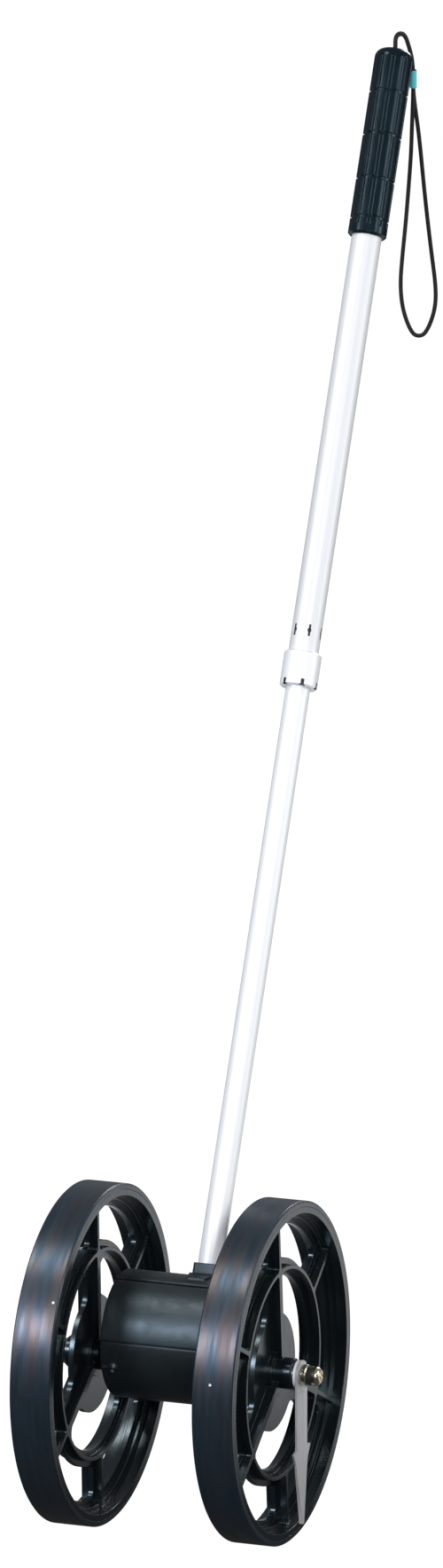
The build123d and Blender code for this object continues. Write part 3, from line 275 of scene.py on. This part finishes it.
def drawn_tube(name, *recesses, shade=1.0):
    """Bright drawn tube with faint lines along it, painted shade inside the recesses round it, and a shade
    factor that darkens its whole colour as painted shade.
    """
    m = Nodes(name)
    place = m.add("ShaderNodeTexCoord")
    upright = m.add("ShaderNodeVectorRotate", rotation_type="X_AXIS")
    upright.inputs["Angle"].default_value = lean
    m.join(place.outputs["Object"], upright.inputs["Vector"])
    mapping = m.add("ShaderNodeMapping")
    mapping.inputs["Scale"].default_value = (900, 900, 2)
    m.join(upright.outputs["Vector"], mapping.inputs["Vector"])
    lines = m.noise(mapping.outputs["Vector"], detail=2)
    # The shade factor is painted shade: it darkens the whole colour of a tube
    dull = (0.86 * shade, 0.865 * shade, 0.885 * shade)
    bright = (0.93 * shade, 0.935 * shade, 0.95 * shade)
    color = m.ramp(lines, (0.25, dull), (0.75, bright))
    if recesses:
        # Painted shade inside the recesses
        mix = m.add("ShaderNodeMix", data_type="RGBA")
        m.join(recess_mask(m, upright.outputs["Vector"], recesses), mix.inputs["Factor"])
        m.join(color, mix.inputs["A"])
        mix.inputs["B"].default_value = painted_recess_shade
        color = mix.outputs["Result"]
    m.join(color, m.shader.inputs["Base Color"])
    m.join(m.span(lines, first=0.42, last=0.5), m.shader.inputs["Roughness"])
    m.set(Metallic=0.2, Specular_IOR_Level=0.6)
    return m.material


def turned_metal(name, color, rough):
    """Metal with fine rings round the axle."""
    m = Nodes(name)
    rings = m.noise(m.coordinates(scale=(1500, 60, 60)), detail=3)
    darker = tuple(c * 0.82 for c in color)
    m.join(m.ramp(rings, (0.3, darker), (0.7, color)), m.shader.inputs["Base Color"])
    m.join(m.span(rings, rough - 0.05, rough + 0.08), m.shader.inputs["Roughness"])
    m.set(Metallic=1.0)
    m.bump(rings, strength=0.06, distance=0.0002, edge=slight_edge)
    return m.material


def braided_cord():
    """Limp black cord with a braid."""
    m = Nodes("braided_cord")
    place = m.add("ShaderNodeTexCoord")
    strands = []
    for tilt in (0.9, -0.9):
        mapping = m.add("ShaderNodeMapping")
        mapping.inputs["Rotation"].default_value = (tilt, 0, 0.4)
        m.join(place.outputs["Object"], mapping.inputs["Vector"])
        wave = m.add("ShaderNodeTexWave", wave_type="BANDS", bands_direction="Z")
        wave.inputs["Scale"].default_value = 210
        m.join(mapping.outputs["Vector"], wave.inputs["Vector"])
        strands.append(wave.outputs["Fac"])
    braid = m.math("MAXIMUM", *strands)
    color = m.ramp(braid, (0.35, (0.004, 0.004, 0.005)), (0.95, (0.013, 0.013, 0.014)))
    m.join(color, m.shader.inputs["Base Color"])
    m.set(Roughness=0.72, Sheen_Weight=0.05, Specular_IOR_Level=0.3)
    m.bump(braid, strength=0.5, distance=0.0004)
    return m.material


def clear_pane():
    """Clear plastic pane."""
    m = Nodes("clear_pane")
    wear = m.noise(m.coordinates(), scale=300)
    m.join(m.span(wear, first=0.02, last=0.07), m.shader.inputs["Roughness"])
    m.set(Base_Color=(0.97, 0.985, 0.98, 1), Transmission_Weight=1.0, IOR=1.46)
    return m.material


def soft_grip():
    """Soft dark blue-black grip with a fine pebbled skin."""
    m = Nodes("soft_grip")
    vector = m.coordinates()
    cloud = m.noise(vector, scale=30)
    color = m.ramp(cloud, (0.3, (0.003, 0.0075, 0.011)), (0.75, (0.006, 0.012, 0.018)))
    m.join(color, m.shader.inputs["Base Color"])
    m.join(m.span(cloud, first=0.2, last=0.27), m.shader.inputs["Roughness"])
    m.set(Specular_IOR_Level=0.3, Specular_Tint=(0.6, 0.86, 1.0, 1))
    pebble = m.add("ShaderNodeTexVoronoi")
    pebble.inputs["Scale"].default_value = 900
    m.join(vector, pebble.inputs["Vector"])
    m.bump(pebble.outputs["Distance"], strength=0.12, distance=0.0003, edge=0.0008)
    return m.material


black_gloss = moulded(
    "black_gloss",
    dark=(0.004, 0.006, 0.0075),
    light=(0.007, 0.010, 0.0125),
    rough=(0.2, 0.28),
    grain=260,
    strength=0.015,
    edge=0.001,
    specular=0.54,
    gloss=cool_gloss,
)
black_satin = moulded(
    "black_satin",
    dark=(0.008, 0.0105, 0.0125),
    light=(0.012, 0.0155, 0.018),
    rough=(0.35, 0.45),
    grain=1100,
    strength=0.3,
    edge=0.0028,
    specular=0.74,
    gloss=cool_gloss,
)
black_cap = moulded(
    "black_cap",
    dark=(0.008, 0.0105, 0.0125),
    light=(0.012, 0.0155, 0.018),
    rough=(0.32, 0.42),
    grain=1100,
    strength=0.24,
    edge=0.0014,
    specular=0.34,
    gloss=cool_gloss,
)
black_rubber = moulded(
    "black_rubber",
    dark=(0.012, 0.012, 0.013),
    light=(0.02, 0.02, 0.021),
    rough=(0.5, 0.65),
    strength=0.1,
    edge=slight_edge,
)
dark_bush = moulded(
    "dark_bush",
    dark=(0.02, 0.02, 0.022),
    light=(0.03, 0.03, 0.032),
    rough=(0.4, 0.55),
    edge=slight_edge,
)
white_nylon = moulded(
    "white_nylon",
    dark=(0.78, 0.79, 0.80),
    light=(0.86, 0.87, 0.88),
    rough=(0.35, 0.5),
    strength=0.04,
    edge=slight_edge,
)
white_wheel = moulded(
    "white_wheel",
    dark=(0.8, 0.8, 0.78),
    light=(0.88, 0.88, 0.86),
    rough=(0.4, 0.55),
    strength=0.04,
)
cream_gear = moulded(
    "cream_gear",
    dark=(0.62, 0.59, 0.5),
    light=(0.72, 0.69, 0.6),
    rough=(0.4, 0.55),
    strength=0.05,
)
turquoise = moulded(
    "turquoise_tube",
    dark=(0.07, 0.5, 0.55),
    light=(0.11, 0.6, 0.65),
    rough=(0.28, 0.4),
    grain=500,
    strength=0.05,
    edge=slight_edge,
)
pointer_grey = moulded(
    "pointer_grey",
    dark=(0.46, 0.465, 0.475),
    light=(0.54, 0.545, 0.555),
    rough=(0.36, 0.48),
    grain=1300,
    strength=0.05,
    edge=slight_edge,
    patch=30,
    metallic=0.2,
)
sheet_steel = moulded(
    "sheet_steel",
    dark=(0.42, 0.42, 0.43),
    light=(0.55, 0.55, 0.56),
    rough=(0.3, 0.45),
    strength=0.04,
    patch=40,
    metallic=1.0,
)
dark_button = moulded(
    "dark_button",
    dark=(0.05, 0.05, 0.055),
    light=(0.07, 0.07, 0.075),
    rough=(0.35, 0.5),
    edge=slight_edge,
)
digit_ink = moulded(
    "digit_ink",
    dark=(0.008, 0.008, 0.009),
    light=(0.014, 0.014, 0.015),
    rough=(0.5, 0.6),
    strength=0.02,
)
mark_paint = moulded(
    "mark_paint",
    dark=(0.7, 0.7, 0.68),
    light=(0.82, 0.82, 0.8),
    rough=(0.5, 0.6),
    strength=0.02,
)
steel = turned_metal("bright_steel", (0.62, 0.62, 0.64), 0.26)
black_steel = turned_metal("black_steel", (0.012, 0.0125, 0.014), 0.5)
pale_brass = turned_metal("pale_brass", (0.83, 0.74, 0.55), 0.2)
cream_metal = turned_metal("cream_metal", (0.88, 0.8, 0.62), 0.24)
brass = turned_metal("spacer_brass", (0.78, 0.58, 0.28), 0.28)
tyre = tyre_rubber()
# Zones of painted shade: the creases and bowls of the upper tube's dimples, and the clamp nut's notches
dimple_crease_shade = Recess(low=0.6884, high=0.6996, inner=0.0132, outer=0.0144, narrowness=0.9)
dimple_bowl_shade = Recess(low=0.6916, high=0.6964, inner=0.0131, outer=0.01405, narrowness=0.45)
nut_notch_shade = Recess(low=0.6405, high=0.6475, inner=0.0158, outer=0.01745, narrowness=0.55)
tube = drawn_tube("drawn_tube")
# The upper tube is a darker copy of the lower tube's colour, as painted shade
dimpled_tube = drawn_tube("dimpled_tube", dimple_crease_shade, dimple_bowl_shade, shade=0.89)
notched_nut = drawn_tube("notched_nut", nut_notch_shade)
grip_skin = soft_grip()
strap_braid = braided_cord()
pane = clear_pane()

# Which node has which material
number_wheels = range(1, 6)
transfer_pinions = range(1, 5)
looks = {
    tyre: ("left_tyre", "right_tyre"),
    black_gloss: ("left_wheel", "right_wheel"),
    black_satin: ("housing_lower", "housing_upper"),
    black_cap: ("housing_cap",),
    steel: (
        "axle",
        "left_end_screw",
        "left_end_washer",
        "tube_pin",
        "counter_shaft",
        "pinion_shaft",
        "idler_stud",
        "pointer_sleeve",
    ),
    black_steel: ("housing_screws", "cap_screws"),
    brass: ("left_spacer", "right_spacer"),
    pale_brass: ("pointer_screw",),
    cream_metal: ("pointer_collar",),
    dark_bush: ("left_bush", "right_bush", "guide_bush", "end_plug", "collet"),
    pane: ("counter_window",),
    tube: ("lower_tube",),
    dimpled_tube: ("upper_tube",),
    notched_nut: ("clamp_nut",),
    grip_skin: ("grip",),
    turquoise: ("strap_sleeve",),
    pointer_grey: ("pointer",),
    white_nylon: ("pointer_washer",),
    black_rubber: ("pointer_grommet",),
    cream_gear: (
        "drive_gear",
        "idler_gear",
        "counter_gear",
        *(f"transfer_pinion_{pinion}" for pinion in transfer_pinions),
    ),
    sheet_steel: ("counter_frame",),
    white_wheel: tuple(f"number_wheel_{wheel}" for wheel in number_wheels),
    dark_button: ("reset_button", "reset_comb"),
}
for look, names in looks.items():
    for name in names:
        nodes[name].data.materials.clear()
        nodes[name].data.materials.append(look)


def new_object(name, data, body):
    """Adds a piece that rides on a body."""
    obj = bpy.data.objects.new(name, data)
    scene.collection.objects.link(obj)
    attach(obj, body)
    return obj


# Wrist strap: the cord's route from the grip's end, in millimetres across, back and up from there
millimetres_in_metre = 1000
strap_diameter = 0.004
strap_turn = math.radians(20.5)
strap_across = Vector((math.cos(strap_turn), math.sin(strap_turn), 0))
strap_back = Vector((-math.sin(strap_turn), math.cos(strap_turn), 0))
strap_route = (
    (-1.3, -6.2, -8.1),
    (0.4, -1.6, 2.3),
    (0.1, 2.2, 11.9),
    (4.4, 5.3, 15.2),
    (9.5, 8.9, 12.7),
    (13.2, 11.3, 1.5),
    (17.0, 11.7, -13.7),
    (17.3, 11.7, -39.7),
    (16.9, 12.3, -55.7),
    (16.2, 13.4, -76.7),
    (15.6, 14.0, -99.7),
    (13.6, 14.0, -129.7),
    (10.8, 14.0, -166.7),
    (7.6, 14.0, -199.7),
    (5.8, 14.0, -223.7),
    (7.2, 14.0, -244.7),
    (11.8, 14.0, -261.7),
    (17.8, 14.0, -273.9),
    (23.6, 14.0, -276.1),
    (29.4, 14.0, -273.9),
    (35.6, 14.0, -261.3),
    (39.6, 14.0, -244.7),
    (39.2, 14.0, -225.7),
    (36.0, 14.0, -201.7),
    (32.0, 14.0, -169.7),
    (28.0, 14.0, -133.7),
    (25.0, 14.0, -102.7),
    (22.4, 14.8, -78.7),
    (19.2, 15.8, -56.7),
    (17.3, 16.3, -39.7),
    (17.0, 16.3, -13.7),
    (13.2, 16.0, 1.5),
    (9.5, 14.0, 12.7),
    (4.4, 10.4, 15.2),
    (0.1, 7.2, 11.9),
    (0.1, 2.8, 0.4),
    (-1.6, -1.8, -10.0),
)
strap_curve = bpy.data.curves.new("strap_cord", "CURVE")
strap_curve.dimensions = "3D"
strap_curve.bevel_depth = strap_diameter / 2
strap_curve.bevel_resolution = 4
strap_curve.resolution_u = 10
strap_curve.use_fill_caps = True
strap_line = strap_curve.splines.new("NURBS")
strap_line.points.add(len(strap_route) - 1)
for point, (across, back, up) in zip(strap_line.points, strap_route):
    offset = strap_across * across + strap_back * back + Vector((0, 0, up))
    spot = grip_end + offset / millimetres_in_metre
    point.co = (*spot, 1)
strap_line.order_u = 3
strap_line.use_endpoint_u = True
strap_curve.materials.append(strap_braid)
strap = new_object("strap_cord", strap_curve, "upper_pole")
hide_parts("wrist_strap")

# Films of paint, which are closed and thinner than their lift off what carries them
film_thickness = 0.00004


def add_film(name, shape, look, body):
    """Gives faces that look outwards a back on the inner side, and adds the film as a piece."""
    shape.normal_update()
    bmesh.ops.solidify(shape, geom=shape.faces[:], thickness=film_thickness)
    bmesh.ops.recalc_face_normals(shape, faces=shape.faces)
    film = bpy.data.meshes.new(name)
    shape.to_mesh(film)
    shape.free()
    film.materials.append(look)
    new_object(name, film, body)


# Digits painted round the number wheels, read by the person who pushes the tool
digit_count = 10
digit_step = 360 / digit_count
digit_height = 0.0068
digit_font_share = 0.7
digit_width_share = 0.78
digit_lift = 0.00006
digit_bands = 9


def digit_mesh(number):
    """The outline of one digit as a flat mesh, cut into bands so that it can bend."""
    words = bpy.data.curves.new("digit", "FONT")
    words.body = str(number)
    words.align_x = "CENTER"
    words.size = digit_height / digit_font_share
    words.resolution_u = 3
    holder = bpy.data.objects.new("digit", words)
    scene.collection.objects.link(holder)
    bpy.context.view_layer.update()
    solved = holder.evaluated_get(bpy.context.evaluated_depsgraph_get())
    flat = bpy.data.meshes.new_from_object(solved)
    bpy.data.objects.remove(holder)
    bpy.data.curves.remove(words)
    shape = bmesh.new()
    shape.from_mesh(flat)
    bpy.data.meshes.remove(flat)
    for band in range(1, digit_bands):
        cut = digit_height * band / digit_bands
        bmesh.ops.bisect_plane(
            shape,
            geom=shape.verts[:] + shape.edges[:] + shape.faces[:],
            plane_co=(0, cut, 0),
            plane_no=(0, 1, 0),
        )
    return shape


digits = [digit_mesh(number) for number in range(digit_count)]
for wheel in number_wheels:
    low, high = (Vector(corner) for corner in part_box(f"number_wheel_{wheel}"))
    centre = (low + high) / 2
    radius = (high.z - low.z) / 2 + digit_lift
    ring = bmesh.new()
    for number, shape in enumerate(digits):
        start = math.radians(digit_step * number)
        made = {}
        for vert in shape.verts:
            angle = start - (vert.co.y - digit_height / 2) / radius
            out = pole_up * math.cos(angle) + rear * math.sin(angle)
            aside = Vector((vert.co.x * digit_width_share, 0, 0))
            made[vert.index] = ring.verts.new(centre + out * radius - aside)
        for face in shape.faces:
            ring.faces.new([made[vert.index] for vert in face.verts])
    carrier = "counter_drive" if wheel == 1 else f"number_{wheel}"
    add_film(f"digits_{wheel}", ring, digit_ink, carrier)
for shape in digits:
    shape.free()


# Small paint marks on the treads: name, place along the axle and bearing round it in degrees
tread_marks = (
    ("right_tread_mark", 0.0863, 169.43),
    ("left_tread_mark", -0.0742, 147.73),
)
mark_radius = 0.0013
mark_sides = 16
mark_lift = 0.00008
for name, along, bearing in tread_marks:
    mark = bmesh.new()
    rim = []
    for side in range(mark_sides):
        turn = -2 * math.pi * side / mark_sides
        angle = math.radians(bearing) + mark_radius * math.sin(turn) / wheel_radius
        out = Vector((0, math.cos(angle), math.sin(angle)))
        aside = Vector((along + mark_radius * math.cos(turn), 0, 0))
        rim.append(mark.verts.new(axle_centre + out * (wheel_radius + mark_lift) + aside))
    mark.faces.new(rim)
    add_film(name, mark, mark_paint, "wheelset")


# Pale floor, white to the camera, and in reflections bright behind the object and dim elsewhere
floor_half_side = 40
floor_mesh = bpy.data.meshes.new("floor")
floor_shape = bmesh.new()
bmesh.ops.create_grid(floor_shape, x_segments=1, y_segments=1, size=floor_half_side)
floor_shape.to_mesh(floor_mesh)
floor_shape.free()
floor = bpy.data.objects.new("floor", floor_mesh)
scene.collection.objects.link(floor)
paper = Nodes("floor_paper")
paper.set(Base_Color=(0.1, 0.1, 0.1, 1), Roughness=0.9, Specular_IOR_Level=0.0)
glow = paper.add("ShaderNodeEmission")
glow.inputs["Color"].default_value = (1, 1, 1, 1)
glow.inputs["Strength"].default_value = 1.0
seen = paper.add("ShaderNodeAddShader")
paper.join(paper.shader.outputs["BSDF"], seen.inputs[0])
paper.join(glow.outputs["Emission"], seen.inputs[1])
floor_place = paper.add("ShaderNodeTexCoord")
floor_split = paper.add("ShaderNodeSeparateXYZ")
paper.join(floor_place.outputs["Object"], floor_split.inputs["Vector"])
depth = floor_split.outputs["Y"]
near_fade = paper.span(depth, first=0.06, last=0.9, start=0.1, end=0.6)
far_fade = paper.span(depth, first=1.0, last=0.04, start=1.3, end=1.9)
reflected = paper.add("ShaderNodeEmission")
reflected.inputs["Color"].default_value = (0.97, 0.98, 1.0, 1)
paper.join(paper.math("MULTIPLY", near_fade, far_fade), reflected.inputs["Strength"])
floor_path = paper.add("ShaderNodeLightPath")
floor_choice = paper.add("ShaderNodeMixShader")
paper.join(floor_path.outputs["Is Camera Ray"], floor_choice.inputs["Fac"])
paper.join(reflected.outputs["Emission"], floor_choice.inputs[1])
paper.join(seen.outputs["Shader"], floor_choice.inputs[2])
paper.join(floor_choice.outputs["Shader"], paper.output.inputs["Surface"])
floor_mesh.materials.append(paper.material)


# Soft studio light: a dim sky that is white to the camera, and lamps
world = bpy.data.worlds.new("studio")
scene.world = world
world.use_nodes = True
sky = world.node_tree
sky_light = sky.nodes["Background"]
sky_light.inputs["Color"].default_value = (0.93, 0.96, 1.0, 1)
sky_light.inputs["Strength"].default_value = 0.22
sky_white = sky.nodes.new("ShaderNodeBackground")
sky_white.inputs["Color"].default_value = (1, 1, 1, 1)
sky_path = sky.nodes.new("ShaderNodeLightPath")
sky_choice = sky.nodes.new("ShaderNodeMixShader")
sky.links.new(sky_path.outputs["Is Camera Ray"], sky_choice.inputs["Fac"])
sky.links.new(sky_light.outputs["Background"], sky_choice.inputs[1])
sky.links.new(sky_white.outputs["Background"], sky_choice.inputs[2])
sky.links.new(sky_choice.outputs["Shader"], sky.nodes["World Output"].inputs["Surface"])

# What the lamps are aimed at
housing_top = (0, 0, 0.2)
pole_foot = (0, 0.1, 0.4)
lower_pole = (0, 0.2, 0.5)
pole_middle = (0, 0.2, 0.6)
grip_middle = (0, 0.5, 1.2)


def soft_box(name, place, aim, size, power, color):
    """Adds a rectangular lamp, with its size in metres and its power in watts."""
    data = bpy.data.lights.new(name, "AREA")
    data.shape = "RECTANGLE"
    data.size, data.size_y = size
    data.energy = power
    data.color = color
    aim_object(bpy.data.objects.new(name, data), place, aim)


soft_box("overhead", (-1.36, -0.85, 3.6), housing_top, (0.9, 0.6), 27, (1.0, 0.98, 0.97))
soft_box("upper_front", (-1.8, -4.2, 2.6), pole_foot, (0.9, 1.2), 115, (0.84, 0.88, 1.0))
soft_box("right_front", (2.6, -4.6, 2.4), pole_middle, (1.2, 2.0), 150, (1.0, 1.0, 1.0))
soft_box("right_rim", (3.4, 1.2, 1.4), lower_pole, (0.8, 2.2), 38, (0.96, 0.98, 1.0))
soft_box("back", (0.3, 4.6, 2.6), pole_middle, (1.4, 1.4), 90, (1.0, 1.0, 1.0))
soft_box("left_strip", (-2.8, -2.2, 3.4), grip_middle, (0.4, 0.9), 22, (1.0, 0.98, 0.96))
soft_box("right_strip", (4.1, -0.62, 2.66), grip_middle, (0.4, 0.9), 18, (0.95, 0.98, 1.0))
scene.view_settings.view_transform = "Standard"
scene.view_settings.look = "None"
